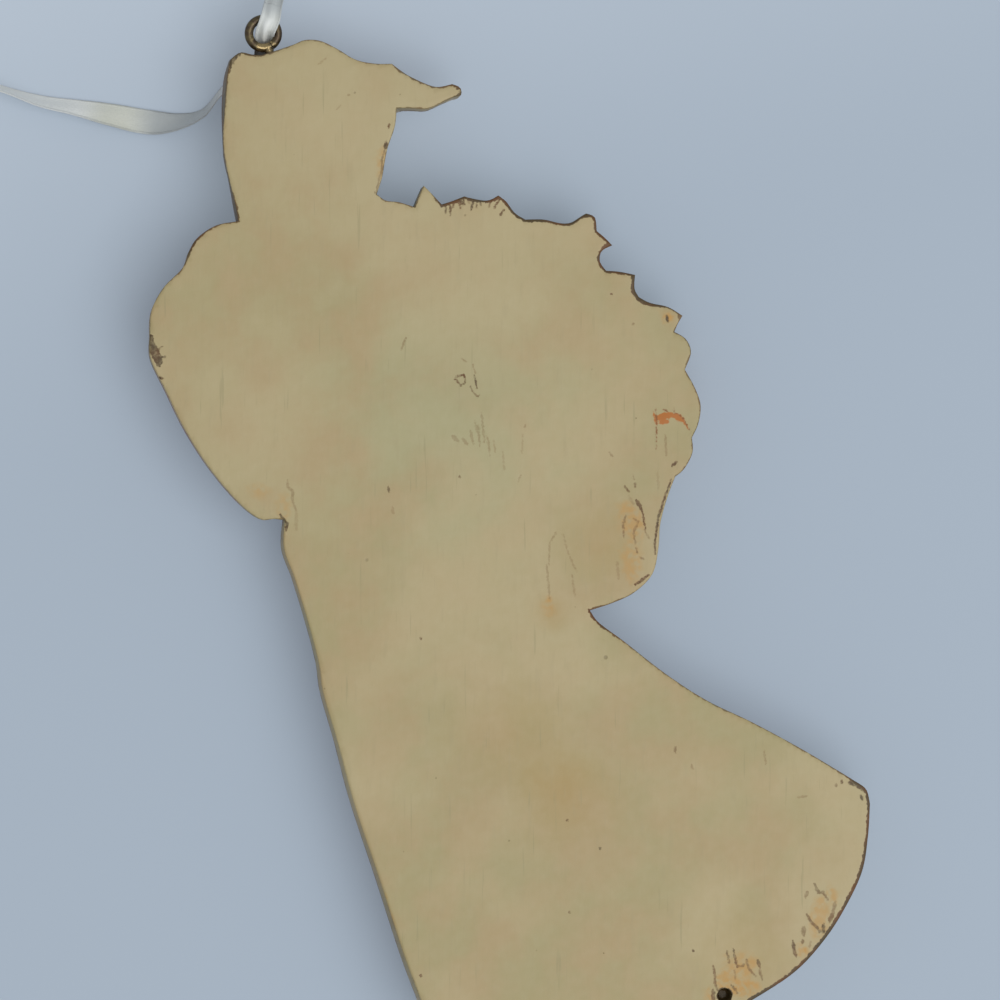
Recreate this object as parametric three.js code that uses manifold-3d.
// A flat-backed hanging ornament: a cast resin figure in low relief, a brass screw eye in the top of its
// head, and a narrow satin ribbon tied through the eye. It lies face down, with the flat back up.
// Millimetres, +Z up. +Y runs along the figure from hem to head, and +X is to the right, seen on the back.
import * as THREE from 'three';
import { mergeVertices } from 'three/addons/utils/BufferGeometryUtils.js';
import Module from 'manifold-3d';

const wasm = await Module();
wasm.setup();

// Driving dimensions.
const FIGURE_WIDTH = 68.7;     // elbow to the hem's front corner
const FIGURE_HEIGHT = 134.1;   // top of the cap to the hem
const CASTING_DEPTH = 11;      // flat back to the highest relief
const EDGE_DEPTH = 4.6;        // wall round the outline
const BODY_DEPTH = 8.4;        // middle of the robe
const BODY_ROUND = 8;          // distance over which the robe rises from its edge
const OUTLINE_STEP = 1.5;      // length of a wall facet
const SWELL_STEP = 2.25;       // width of a facet of the robe's swell
const RESIN_CLEARANCE = 0.3;   // screw eye to casting, all round
const EYE_OUTER = 4.7;         // outside diameter of the eye
const EYE_WIRE = 1.1;          // wire diameter
const EYE_GAP_ANGLE = 28;      // degrees of the ring left open beside the shank
const EYE_START_ANGLE = 14;    // degrees of the ring between the shank and the opening
const SHANK_LENGTH = 9;        // below the eye
const PIT_RADIUS = 0.95;       // casting pit in the back, near the hem
const PIT_DEPTH = 3;
const PIT_PLACE = [17.7, -132.4];
const HEM_BAND = 8;            // width of the rolled band along the hem
const HEM_BAND_RISE = 2.8;     // its height over the middle of the robe
const HEM_TRIM = 0.8;          // how much of its width the hem's edge cuts off
const HEM_RUN_ON = 2.6;        // how far it runs on past the hem's last straight points
const FRONT_BAND = 5.4;        // width of the rolled band down the front of the robe
const FRONT_BAND_RISE = 1.3;
const FOLD_WIDTH = 7;          // folds of the robe, at the hem
const FOLD_RISE = 1.6;
const FOLD_SINK = 0.8;         // depth of the middle of each fold in the robe
const FRUIT_SEAT = 2.4;        // depth in the relief of the middle of each fruit
const RIBBON_WIDTH = 3.2;
const RIBBON_THICKNESS = 0.3;
const RIBBON_CLEARANCE = 0.45; // gathered ribbon to the wire of the eye
const RIBBON_GAP = 0.3;        // between one stretch of ribbon and the next
const KNOT_PLACE = [-54, 46];
const KNOT_HEADING = 150;      // degrees, the way the tails leave
const KNOT_LENGTH = 6.4;
const KNOT_WIDTH = 5;
const KNOT_HEIGHT = 3.4;
const KNOT_LIFT = 0.7;         // rise of the ribbon just before the knot
const TAIL_LENGTH = 9;         // ribbon ends beyond the knot
const TAIL_SPREAD = 22;        // degrees between the knot's line and each tail

// Places follow from those sizes. Every X and Y below is measured from the centre of the eye.
const eyeRadius = (EYE_OUTER - EYE_WIRE) / 2;
const eyeHole = EYE_OUTER - 2 * EYE_WIRE;
const eyeHeight = CASTING_DEPTH - EDGE_DEPTH / 2;
const seat = -(EYE_OUTER / 2 + RESIN_CLEARANCE);
const boreRadius = EYE_WIRE / 2 + RESIN_CLEARANCE;
const gathered = eyeHole - 2 * RIBBON_CLEARANCE;
const wireTop = EYE_WIRE / 2 + RIBBON_CLEARANCE + gathered / 2;

// The outline, clockwise from the neck, as smooth stretches that meet at corners.
const hemStretch = [[42.6, -115.3], [41.1, -119.1], [39, -123.1], [35.5, -126.8], [31.9, -129.7],
  [27.5, -132.2], [22.4, -133.7], [16, -134.9], [8, -135.6], [-1, -134.4], [-9, -131.6], [-15.6, -128]];
const outlineStretches = {
  headSide: [[-10.4, -21.3], [-10.3, -17.5], [-9.7, -12.3], [-8.3, -8], [-6.4, -3.9], [-5.1, -1.9]],
  capCorner: [[-5.1, -1.9], [-3.6, -1.5], [-2.3, -2.2], [-1.2, seat]],
  eyeSeat: [[-1.2, seat], [1.2, seat]],
  capTop: [[1.2, seat], [3, -2.6], [4.6, -2.5], [6.4, -3.2], [8.1, -4.8], [9.8, -6.7], [11.9, -7.9], [14, -8.6]],
  capTail: [[14, -8.6], [15.3, -10.4], [17.3, -12.3], [18.6, -13.1], [20.4, -13.3]],
  capKnob: [[20.4, -13.3], [21.2, -14], [21.1, -14.9], [20.2, -14.9]],
  capUnder: [[20.2, -14.9], [18.6, -15.1], [16.6, -15.3], [14.8, -14.7], [12.9, -14.1]],
  hairSide: [[12.9, -14.1], [12, -16.2], [10.5, -18.2], [9.5, -19.9], [8.5, -21.8], [7.2, -23.5]],
  collar: [[7.2, -23.5], [8, -24.6], [9.5, -25.3], [10.8, -26.7]],
  firstLeafRise: [[10.8, -26.7], [12, -25.3], [13.1, -24.3]],
  firstLeafFall: [[13.1, -24.3], [13.8, -25.7], [14.5, -27.2]],
  secondLeaf: [[14.5, -27.2], [15.9, -27.2], [17.5, -27.1]],
  thirdLeafRise: [[17.5, -27.1], [18.8, -27.9], [20.2, -28.5], [21.6, -28.3]],
  thirdLeafFall: [[21.6, -28.3], [22.3, -29.3], [22.9, -31], [23.9, -32.2]],
  fourthLeafRise: [[23.9, -32.2], [26.1, -32.9], [28, -34], [29.4, -34.3], [31.4, -33.8]],
  fourthLeafFall: [[31.4, -33.8], [32.3, -34.6], [32, -36.3]],
  fifthLeafRise: [[32, -36.3], [32.7, -37.4], [33.3, -38.6]],
  fifthLeafFall: [[33.3, -38.6], [31.8, -38.9], [31.2, -40.1], [31.6, -41.4]],
  sixthLeafRise: [[31.6, -41.4], [33.1, -42], [34.9, -43]],
  sixthLeafFall: [[34.9, -43], [34.3, -44.6], [34.5, -45.8]],
  lastLeafRise: [[34.5, -45.8], [35.6, -46.9], [37.6, -48.1], [39, -49.7]],
  lastLeafFall: [[39, -49.7], [38.1, -50.5], [37.4, -51.3]],
  upperFruit: [[37.4, -51.3], [38.5, -52.6], [38.6, -54.4], [37.2, -56.2]],
  middleFruit: [[37.2, -56.2], [37.7, -58.8], [37.7, -61.1], [36.7, -63.2], [35.4, -64.6]],
  lowerFruit: [[35.4, -64.6], [34.9, -66.4], [33.3, -68], [31.9, -68.6]],
  sackSide: [[31.9, -68.6], [30.2, -70.7], [28.3, -73.6], [27.1, -76.5], [25.4, -79.3], [22.5, -80.8],
    [19.5, -81.2], [16.5, -81.2]],
  robeFront: [[16.5, -81.2], [17.1, -83], [19.3, -86.1], [23.1, -91.7], [27, -96.5], [31.5, -100.8],
    [36.1, -105.6], [39.9, -109.9], [41.6, -111.9]],
  hemCorner: [[41.6, -111.9], [42.7, -113.4], [42.6, -115.3]],
  hem: hemStretch,
  hemHeel: [[-15.6, -128], [-17.8, -125.9], [-18.6, -122]],
  robeBack: [[-18.6, -122], [-18.9, -115], [-18.9, -105], [-19, -95], [-18.6, -87], [-18.4, -80.6],
    [-17.8, -77], [-17.5, -72], [-17.4, -66], [-17.5, -62], [-16.3, -58.6]],
  sleeve: [[-16.3, -58.6], [-17.4, -58.1], [-19.3, -57.5], [-21.3, -54.4], [-23.3, -49.4], [-24.7, -43.9],
    [-25.4, -39], [-26, -34.4], [-25.2, -31.6], [-24.1, -28.8], [-21.8, -26.5], [-18.8, -24.9],
    [-17.5, -23.3]],
  shoulder: [[-17.5, -23.3], [-15.9, -21.9], [-13.2, -21.1], [-10.4, -21.3]],
};

// The figure is drawn at its usual width and height, and the drawing stretches away from the eye with them.
const drawing = Object.values(outlineStretches).flat();
const extentOf = (values) => Math.max(...values) - Math.min(...values);
const across = FIGURE_WIDTH / extentOf(drawing.map(([x]) => x));
const down = FIGURE_HEIGHT / extentOf(drawing.map(([, y]) => y));
const place = ([x, y]) => [x * across, seat + (y - seat) * down];

// Points along a smooth curve through the given ones, a facet apart.
function along(points, step) {
  const curve = new THREE.SplineCurve(points.map((point) => new THREE.Vector2(...place(point))));
  return curve.getSpacedPoints(Math.max(1, Math.round(curve.getLength() / step)));
}

const outline = Object.values(outlineStretches).flatMap((points) => along(points, OUTLINE_STEP).slice(0, -1));
const hemLine = along(hemStretch, 3 * OUTLINE_STEP);

// Distance inside the outline, and zero outside it.
function depthInside(x, y) {
  let inside = false;
  let least = Infinity;
  for (let i = 0, j = outline.length - 1; i < outline.length; j = i, i += 1) {
    const [a, b] = [outline[i], outline[j]];
    const [dx, dy] = [b.x - a.x, b.y - a.y];
    if (a.y > y !== b.y > y && x < (dx * (y - a.y)) / dy + a.x) inside = !inside;
    const t = Math.min(1, Math.max(0, ((x - a.x) * dx + (y - a.y) * dy) / (dx * dx + dy * dy)));
    least = Math.min(least, Math.hypot(x - a.x - t * dx, y - a.y - t * dy));
  }
  return inside ? least : 0;
}

// Joining and cutting.
function toSolid(geometry) {
  const bare = geometry.clone();
  bare.deleteAttribute('normal');
  bare.deleteAttribute('uv');
  const merged = mergeVertices(bare, 1e-4);
  return new wasm.Manifold(new wasm.Mesh({
    numProp: 3,
    vertProperties: new Float32Array(merged.attributes.position.array),
    triVerts: new Uint32Array(merged.index.array),
  }));
}

function toGeometry(solid) {
  const mesh = solid.getMesh();
  const geometry = new THREE.BufferGeometry();
  geometry.setAttribute('position', new THREE.BufferAttribute(new Float32Array(mesh.vertProperties), 3));
  geometry.setIndex(new THREE.BufferAttribute(new Uint32Array(mesh.triVerts), 1));
  geometry.computeVertexNormals();
  return geometry;
}

// A smooth route that carries its section square to it, turned by a chosen angle at each point.
class TurnedRoute extends THREE.CatmullRomCurve3 {
  constructor(points, turns = points.map(() => 0)) {
    super(points, false, 'centripetal');
    this.turns = turns;
  }

  turnAt(t) {
    const place = t * (this.turns.length - 1);
    const i = Math.min(this.turns.length - 2, Math.floor(place));
    return THREE.MathUtils.degToRad(THREE.MathUtils.lerp(this.turns[i], this.turns[i + 1], place - i));
  }

  computeFrenetFrames(steps) {
    const frames = { tangents: [], normals: [], binormals: [] };
    for (let i = 0; i <= steps; i += 1) {
      const tangent = this.getTangentAt(i / steps);
      const side = new THREE.Vector3(-tangent.y, tangent.x, 0).normalize();
      side.applyAxisAngle(tangent, this.turnAt(this.getUtoTmapping(i / steps)));
      frames.tangents.push(tangent);
      frames.normals.push(side);
      frames.binormals.push(new THREE.Vector3().crossVectors(tangent, side));
    }
    return frames;
  }
}

function sweep(section, route, steps) {
  return new THREE.ExtrudeGeometry(section, { steps, bevelEnabled: false, extrudePath: route });
}

function roundSection(diameter, sides) {
  const points = [];
  for (let i = 0; i < sides; i += 1) {
    const angle = ((i + 0.5) / sides) * 2 * Math.PI;
    points.push(new THREE.Vector2(Math.cos(angle), Math.sin(angle)).multiplyScalar(diameter / 2));
  }
  return new THREE.Shape(points);
}

// Relief forms, at places on the drawing. Heights over the flat back are shares of the relief: 0 is the
// edge's depth, and 1 the casting's.
const reliefDepth = CASTING_DEPTH - EDGE_DEPTH;
const shareOf = (depth) => (depth - EDGE_DEPTH) / reliefDepth;
const heightAt = (share) => CASTING_DEPTH - EDGE_DEPTH - reliefDepth * share;

// An oval dome, its middle at one share and its crown at another.
function dome(middle, halfWidth, halfLength, from, to, turn = 0, sides = 16) {
  const ball = new THREE.SphereGeometry(1, sides, sides / 2);
  ball.rotateX(Math.PI / 2);
  ball.scale(halfWidth * across, halfLength * down, reliefDepth * (to - from));
  ball.rotateZ(THREE.MathUtils.degToRad(turn));
  ball.translate(...place(middle), heightAt(from));
  return toSolid(ball);
}

// A round roll along a line, closed by a dome at each end.
function roll(points, width, from, to) {
  const section = roundSection(2, 10).getPoints()
    .map(({ x, y }) => new THREE.Vector2((x * width) / 2, y * reliefDepth * (to - from)));
  const route = new TurnedRoute(points.map((point) => new THREE.Vector3(...place(point), heightAt(from))));
  const steps = Math.max(3, Math.round(route.getLength() / (width * 0.6)));
  const ends = [points[0], points.at(-1)].map((end) => dome(end, width / 2, width / 2, from, to, 0, 10));
  return toSolid(sweep(new THREE.Shape(section), route, steps)).add(ends[0]).add(ends[1]);
}

// A straight form that widens from one end to the other, such as a fold, a lock of hair or the cap's tail.
function taper(start, end, widthA, widthB, from, to) {
  const [ax, ay] = place(start);
  const [bx, by] = place(end);
  const length = Math.hypot(bx - ax, by - ay);
  const cone = new THREE.CylinderGeometry(widthB / 2, widthA / 2, length, 10);
  cone.scale(1, 1, (2 * reliefDepth * (to - from)) / Math.max(widthA, widthB));
  cone.rotateZ(Math.atan2(by - ay, bx - ax) - Math.PI / 2);
  cone.translate((ax + bx) / 2, (ay + by) / 2, heightAt(from));
  return toSolid(cone);
}

// A pointed leaf with a raised middle rib.
function leaf(base, tip, width, from, to) {
  const [bx, by] = place(base);
  const [tx, ty] = place(tip);
  const length = Math.hypot(tx - bx, ty - by);
  const profile = [0, 0.15, 0.35, 0.6, 0.82, 1]
    .map((t) => new THREE.Vector2(Math.sin(Math.PI * t ** 0.9) * (width / 2), t * length));
  profile[0].x = 0;
  profile.at(-1).x = 0;
  const blade = new THREE.LatheGeometry(profile, 4);
  blade.scale(1, 1, (2 * reliefDepth * (to - from)) / width);
  blade.rotateZ(Math.atan2(ty - by, tx - bx) - Math.PI / 2);
  blade.translate(bx, by, heightAt(from));
  return toSolid(blade);
}

const capAndHead = [
  dome([1.2, -8.6], 12.6, 8.6, 0, 0.6),
  taper([4, -6.4], [20.6, -14.3], 9, 2.4, 0, 0.5),
  dome([20.3, -14.1], 1.6, 1.6, 0, 0.34, 0, 10),
  roll([[-9.4, -13.4], [-5, -12.2], [1, -11.5], [6.4, -12.1], [11.6, -14]], 4.4, 0, 0.8),
  taper([-7.4, -12.6], [-8.6, -25], 8, 5, 0, 0.54),
  taper([9.4, -13.4], [6.6, -25], 7.6, 4.4, 0, 0.54),
  dome([1.3, -16.4], 5.8, 5.4, 0, 0.66),
  dome([-1.2, -17.6], 1.8, 1.5, 0.46, 0.76, 0, 10),
  dome([3.8, -17.6], 1.8, 1.5, 0.46, 0.76, 0, 10),
  dome([1.3, -17], 1, 1.9, 0.5, 0.92, 0, 10),
];
const beard = [
  dome([0.9, -31], 8.8, 14.2, 0, 0.84),
  dome([-4.4, -28.6], 1.9, 9.6, 0.2, 0.84, -8),
  dome([-1, -31.4], 2, 12.6, 0.2, 0.94, -4),
  dome([2.8, -31.4], 2, 12.6, 0.2, 0.94, 4),
  dome([6.2, -28.6], 1.9, 9.6, 0.2, 0.84, 8),
  roll([[1.2, -19.2], [-1.8, -19.9], [-4.4, -21.9]], 2.5, 0.5, 0.96),
  roll([[1.4, -19.2], [4.4, -19.9], [7, -21.9]], 2.5, 0.5, 0.96),
];
const armAndMitten = [
  dome([-14.6, -38.6], 12.2, 18.6, 0, 0.74, 0, 20),
  dome([-10.6, -49.4], 12.8, 9.2, 0, 0.86, 18, 20),
  roll([[-4.4, -56], [-1.4, -50.6], [0, -45], [-0.2, -40.6]], 5.2, 0.4, 1.05),
  dome([4.8, -46.8], 5, 4, 0.42, 0.97, 12),
  dome([4, -42.8], 2, 2.5, 0.42, 0.88, 0, 10),
];
const sackAndRim = [
  dome([24, -48], 17, 23, 0, 0.36, 35, 20),
  dome([15.6, -63], 14.4, 21.4, 0, 0.94, 25, 20),
  roll([[5.4, -41.6], [12.4, -44.6], [19.6, -50.2], [25.6, -57.8], [29.4, -65.6], [31.4, -69]],
    3.2, 0.62, 1.03),
  dome([9.4, -64], 2.4, 15.5, 0, 0.96, 14),
  dome([15.4, -64.6], 2.6, 17, 0, 1.03, 20),
  dome([21.6, -66.6], 2.4, 13.6, 0, 0.94, 26),
];
const leaves = [
  leaf([9.4, -39], [13.4, -22.8], 9, 0, 0.66),
  leaf([13.4, -42], [17.7, -25.6], 9, 0, 0.76),
  leaf([17.6, -44], [22, -26.7], 9.4, 0, 0.68),
  leaf([20, -44.4], [26.8, -31.4], 8.6, 0, 0.8),
  leaf([22, -45.8], [32.6, -32.2], 9, 0, 0.7),
  leaf([23.6, -47.8], [34.6, -38.2], 8.6, 0, 0.78),
  leaf([25.6, -49.6], [36.4, -42.6], 8.4, 0, 0.68),
  leaf([28, -51.6], [40.6, -49.5], 8, 0, 0.74),
];
const fruit = [
  [35.1, -53.9, 3.7], [33.4, -60.3, 4.3], [31.4, -65.4, 3.5], [28.2, -55.8, 3.8], [23.4, -49.4, 3.7],
  [17.6, -44.8, 3.4], [12, -41.4, 3.2],
].map(([x, y, radius]) => {
  const from = FRUIT_SEAT / reliefDepth;
  return dome([x, y], radius, radius, from, from + radius / reliefDepth, 0, 12);
});

// Folds fan out from the waist to the hem, and end under its band.
const folds = [
  [[-13, -64], [-14.2, -124]], [[-8.4, -62], [-9.2, -127]], [[-2.4, -60], [-2.6, -130]],
  [[12, -84], [17, -130]], [[15, -86], [25.8, -126.8]], [[18, -88], [34, -121]],
].map(([top, bottom]) => taper(top, bottom, 1, FOLD_WIDTH, shareOf(BODY_DEPTH - FOLD_SINK),
  shareOf(BODY_DEPTH + FOLD_RISE)));

// The band along the hem lies just inside the edge, which trims it, and runs on into both corners.
const onDrawing = (x, y) => [x / across, seat + (y - seat) / down];
const hemBandLine = hemLine.map((point, i) => {
  const before = hemLine[Math.max(0, i - 1)];
  const after = hemLine[Math.min(hemLine.length - 1, i + 1)];
  const away = after.clone().sub(before).normalize();
  const inset = HEM_BAND / 2 - HEM_TRIM;
  const onward = { 0: -HEM_RUN_ON, [hemLine.length - 1]: HEM_RUN_ON }[i] ?? 0;
  return onDrawing(point.x + away.y * inset + away.x * onward, point.y - away.x * inset + away.y * onward);
});
const bands = [
  roll([[1.4, -44], [4.6, -78], [8, -106], [8.7, -131]], FRONT_BAND, 0.4,
    shareOf(BODY_DEPTH + FRONT_BAND_RISE)),
  roll(hemBandLine, HEM_BAND, 0, shareOf(BODY_DEPTH + HEM_BAND_RISE)),
];

// The robe's own surface, rounded off towards the outline all the way round.
function swellSolid() {
  const box = new THREE.Box2().setFromPoints(outline).expandByScalar(SWELL_STEP);
  const size = box.getSize(new THREE.Vector2());
  const centre = box.getCenter(new THREE.Vector2());
  const block = new THREE.BoxGeometry(size.x, size.y, 1,
    Math.round(size.x / SWELL_STEP), Math.round(size.y / SWELL_STEP), 1);
  block.translate(centre.x, centre.y, 0);
  const place = block.attributes.position;
  for (let i = 0; i < place.count; i += 1) {
    const share = 1 - Math.min(1, depthInside(place.getX(i), place.getY(i)) / BODY_ROUND);
    const swell = (BODY_DEPTH - EDGE_DEPTH) * Math.sqrt(1 - share ** 2);
    place.setZ(i, place.getZ(i) > 0 ? CASTING_DEPTH + 1 : CASTING_DEPTH - EDGE_DEPTH - swell);
  }
  return toSolid(block);
}

// The casting: all the relief together, trimmed by the outline, then drilled for the eye.
function castingSolid() {
  const plate = new THREE.ExtrudeGeometry(new THREE.Shape(outline), {
    depth: CASTING_DEPTH, bevelEnabled: false,
  });
  const bore = new THREE.CylinderGeometry(boreRadius, boreRadius, 2 * (SHANK_LENGTH + RESIN_CLEARANCE), 12);
  bore.translate(0, -EYE_OUTER / 2, eyeHeight);
  const pit = new THREE.CylinderGeometry(PIT_RADIUS, PIT_RADIUS, 2 * PIT_DEPTH, 12);
  pit.rotateX(Math.PI / 2);
  pit.translate(...place(PIT_PLACE), CASTING_DEPTH);
  const forms = [...capAndHead, ...beard, ...armAndMitten, ...sackAndRim, ...leaves, ...fruit, ...folds,
    ...bands];
  return forms.reduce((whole, form) => whole.add(form), swellSolid())
    .intersect(toSolid(plate)).subtract(toSolid(bore)).subtract(toSolid(pit));
}

// The screw eye: a straight shank, and a ring whose wire stops short of where it began.
function screwEyeSolid() {
  const points = [];
  const bends = 22;
  for (let i = 0; i <= bends; i += 1) {
    const degrees = -90 + EYE_START_ANGLE - (360 - EYE_GAP_ANGLE) * (i / bends);
    const angle = THREE.MathUtils.degToRad(degrees);
    points.push(new THREE.Vector3(Math.cos(angle) * eyeRadius, Math.sin(angle) * eyeRadius, eyeHeight));
  }
  const ring = sweep(roundSection(EYE_WIRE, 10), new TurnedRoute(points), bends + 2);
  const shankTop = -eyeRadius;
  const shankEnd = -EYE_OUTER / 2 - SHANK_LENGTH;
  const shank = new THREE.CylinderGeometry(EYE_WIRE / 2, EYE_WIRE / 2, shankTop - shankEnd, 10);
  shank.translate(0, (shankTop + shankEnd) / 2, eyeHeight);
  return toSolid(ring).add(toSolid(shank));
}

// The ribbon lies on the surface that the figure lies on. A turned stretch stands on its lower edge.
const lying = (turn) => (RIBBON_WIDTH / 2) * Math.abs(Math.sin(THREE.MathUtils.degToRad(turn)))
  + RIBBON_THICKNESS;

const foldRoute = [
  [1.9, 2.6, eyeHeight + wireTop], [1.1, 1.5, eyeHeight + wireTop + 0.05], [0.56, 0.76, eyeHeight + 1.55],
  [0.2, 0.26, eyeHeight + 0.9], [0, 0, eyeHeight], [-0.24, -0.16, eyeHeight - 0.9],
  [-0.7, -0.46, eyeHeight - 2.4], [-1.2, -0.8, eyeHeight - 4], [-1.6, -1.06, eyeHeight - 5.5],
];

// Where the two runs enter the knot, side by side.
const heading = THREE.MathUtils.degToRad(KNOT_HEADING);
const knotEntry = (side) => {
  const back = KNOT_LENGTH / 2 + RIBBON_GAP;
  const aside = side * (RIBBON_WIDTH / 2 + RIBBON_GAP);
  return [
    KNOT_PLACE[0] - back * Math.cos(heading) - aside * Math.sin(heading),
    KNOT_PLACE[1] - back * Math.sin(heading) + aside * Math.cos(heading),
    0, KNOT_HEIGHT / 2,
  ];
};

// Each point of a run has X, Y and the turn of the ribbon there, in degrees, and its height where it
// doesn't lie on the surface.
const leftRoute = [
  [-2.2, -1.45, 25, 1.9], [-4.4, -3, 45, 1.4], [-7.3, -5, 78], [-10.2, -7, 66], [-13.6, -7, 26],
  [-17, -5.7, 4], [-21, -3.4, 26], [-25, -1.2, 54], [-29, 0.9, 66], [-33.4, 4, 74], [-40, 8.6, 56],
  [-44.6, 15.4, 20], [-46.8, 23.6, 0], [-46.6, 31, 0], [-47.2, 36.4, 10],
  [-48.8, 40.4, 0, lying(0) + KNOT_LIFT], knotEntry(1),
];
const topRoute = [
  [2.2, 3, 0, eyeHeight + wireTop - 0.2], [3.8, 5.2, 8, eyeHeight - 0.6], [6, 8.6, 20, 3.2],
  [8.6, 13.6, 24], [10.6, 21, 8], [10.4, 30, 0], [7, 38.6, 16], [0.4, 45, 40], [-8, 48.8, 56],
  [-17, 49.8, 30], [-26, 48.4, 0], [-34.6, 45.8, 0], [-41.6, 43.8, 6],
  [-46, 44.4, 0, lying(0) + KNOT_LIFT], knotEntry(-1),
];

function flatSection() {
  const [w, t] = [RIBBON_WIDTH / 2, RIBBON_THICKNESS / 2];
  const e = 0.8 * w;
  const points = [[w, 0], [e, t], [0, t], [-e, t], [-w, 0], [-e, -t], [0, -t], [e, -t]];
  return new THREE.Shape(points.map(([x, y]) => new THREE.Vector2(x, y)));
}

function ribbonRun(route, steps) {
  const points = route.map(([x, y, turn, z = lying(turn)]) => new THREE.Vector3(x, y, z));
  return sweep(flatSection(), new TurnedRoute(points, route.map(([, , turn]) => turn)), steps);
}

function ribbonFold() {
  const points = foldRoute.map(([x, y, z]) => new THREE.Vector3(x, y, z));
  return sweep(roundSection(gathered, 8), new TurnedRoute(points), 14);
}

// The knot: a rounded lump where both runs end, and the two tails beyond it.
function knotSolid() {
  const lump = new THREE.SphereGeometry(0.5, 12, 8);
  lump.rotateX(Math.PI / 2);
  lump.scale(KNOT_LENGTH, KNOT_WIDTH, KNOT_HEIGHT);
  lump.translate(0, 0, KNOT_HEIGHT / 2);
  let knot = toSolid(lump);
  for (const side of [-1, 1]) {
    const length = KNOT_LENGTH / 2 + TAIL_LENGTH;
    const tail = new THREE.BoxGeometry(length, RIBBON_WIDTH, RIBBON_THICKNESS);
    tail.translate(length / 2, 0, lying(0));
    tail.rotateZ(side * THREE.MathUtils.degToRad(TAIL_SPREAD));
    knot = knot.add(toSolid(tail));
  }
  return knot.rotate([0, 0, KNOT_HEADING]).translate([...KNOT_PLACE, 0]);
}

const resin = new THREE.MeshStandardMaterial({ color: 0xaf9f7c, roughness: 0.75, metalness: 0 });
const brass = new THREE.MeshStandardMaterial({ color: 0x7d6f55, roughness: 0.4, metalness: 1 });
const satin = new THREE.MeshStandardMaterial({ color: 0xd9d6c3, roughness: 0.5, metalness: 0 });

const figure = new THREE.Group();
function addPiece(name, geometry, material) {
  const mesh = new THREE.Mesh(geometry, material);
  mesh.name = name;
  figure.add(mesh);
}
addPiece('figure_casting', toGeometry(castingSolid()), resin);
addPiece('screw_eye', toGeometry(screwEyeSolid()), brass);

// The origin is under the middle of the casting and its eye, on the surface they lie on.
const own = new THREE.Box3().setFromObject(figure);
const middle = own.getCenter(new THREE.Vector3());
figure.position.set(-middle.x, -middle.y, -own.min.z);

addPiece('ribbon_fold', ribbonFold(), satin);
addPiece('ribbon_left_run', ribbonRun(leftRoute, 32), satin);
addPiece('ribbon_top_run', ribbonRun(topRoute, 32), satin);
addPiece('ribbon_knot', toGeometry(knotSolid()), satin);

const ornament = new THREE.Group();
ornament.add(figure);

export default ornament;
